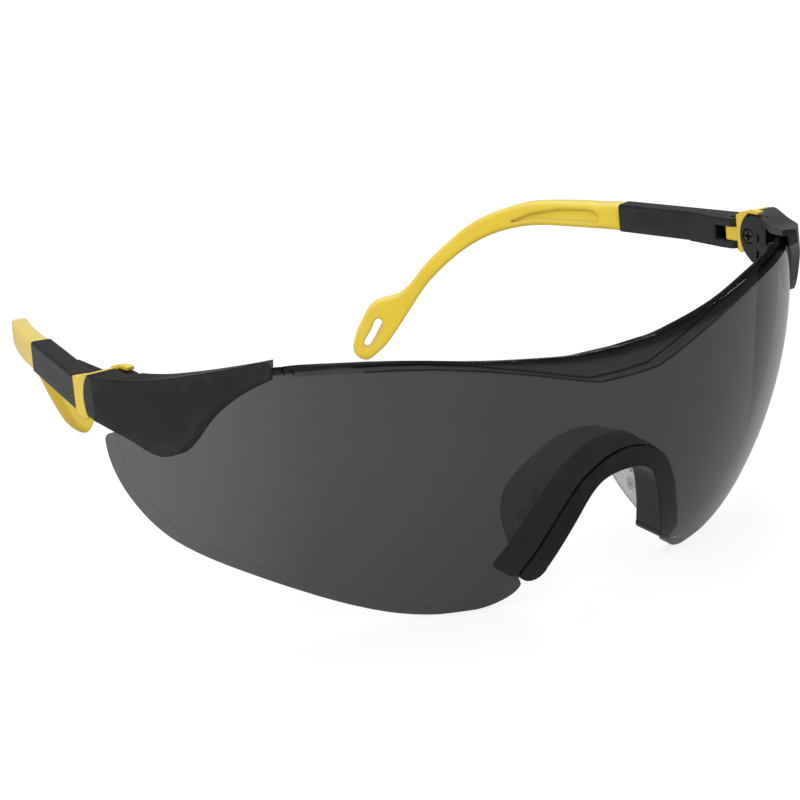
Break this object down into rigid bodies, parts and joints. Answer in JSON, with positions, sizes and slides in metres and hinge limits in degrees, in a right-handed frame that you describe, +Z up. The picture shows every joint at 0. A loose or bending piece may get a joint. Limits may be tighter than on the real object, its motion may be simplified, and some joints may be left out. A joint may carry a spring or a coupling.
{
  "type": "safety spectacles",
  "caption": "Wraparound safety spectacles with a one-piece smoked shield, side brackets, a nose bridge with a soft saddle, and temples that tilt, fold and slide in length.",
  "frame": {"origin": "centre of the bounding box footprint, on the table the spectacles stand on", "axes": "+Z up, -Y the way the shield faces, +Y back along the temples, X across the face; +X is the right-hand side seen from in front"},
  "size_m": [0.1512, 0.1349, 0.0502],
  "materials": {
    "smoke_lens": "polished smoke-tinted polycarbonate",
    "black_plastic": "satin moulded nylon",
    "yellow_plastic": "satin moulded nylon",
    "clear_soft": "translucent soft elastomer",
    "black_steel": "blackened steel"
  },
  "bodies": {
    "front": {"lens": "smoke_lens", "nose_bridge": "black_plastic", "nose_pad": "clear_soft", "bracket_left": "black_plastic", "bracket_right": "black_plastic", "cheek_plate_left": "black_plastic", "cheek_plate_right": "black_plastic", "tilt_screw_left": "black_steel", "tilt_screw_right": "black_steel"},
    "block_right": {"hinge_block_right": "yellow_plastic"},
    "block_left": {"hinge_block_left": "yellow_plastic"},
    "sleeve_right": {"temple_sleeve_right": "black_plastic", "hinge_pin_right": "black_steel"},
    "sleeve_left": {"temple_sleeve_left": "black_plastic", "hinge_pin_left": "black_steel"},
    "tip_right": {"temple_tip_right": "yellow_plastic"},
    "tip_left": {"temple_tip_left": "yellow_plastic"}
  },
  "joints": [
    {"name": "tilt_right", "type": "hinge", "parent": "front", "child": "block_right", "pos_m": [0.0718, -0.02293, 0.04092], "axis": [1, 0, 0], "range_deg": [-8, 8]},
    {"name": "fold_right", "type": "hinge", "parent": "block_right", "child": "sleeve_right", "pos_m": [0.0709, -0.01313, 0.03967], "axis": [-0.0175, 0.0809, 0.9966], "range_deg": [0, 77]},
    {"name": "extend_right", "type": "slide", "parent": "sleeve_right", "child": "tip_right", "axis": [-0.2106, 0.9741, -0.0828], "range_m": [0, 0.009]},
    {"name": "tilt_left", "type": "hinge", "parent": "front", "child": "block_left", "pos_m": [-0.0718, -0.02293, 0.04092], "axis": [1, 0, 0], "range_deg": [-8, 8]},
    {"name": "fold_left", "type": "hinge", "parent": "block_left", "child": "sleeve_left", "pos_m": [-0.0709, -0.01313, 0.03967], "axis": [-0.0175, -0.0809, -0.9966], "range_deg": [0, 62]},
    {"name": "extend_left", "type": "slide", "parent": "sleeve_left", "child": "tip_left", "axis": [0.2106, 0.9741, -0.0828], "range_m": [0, 0.009]}
  ]
}
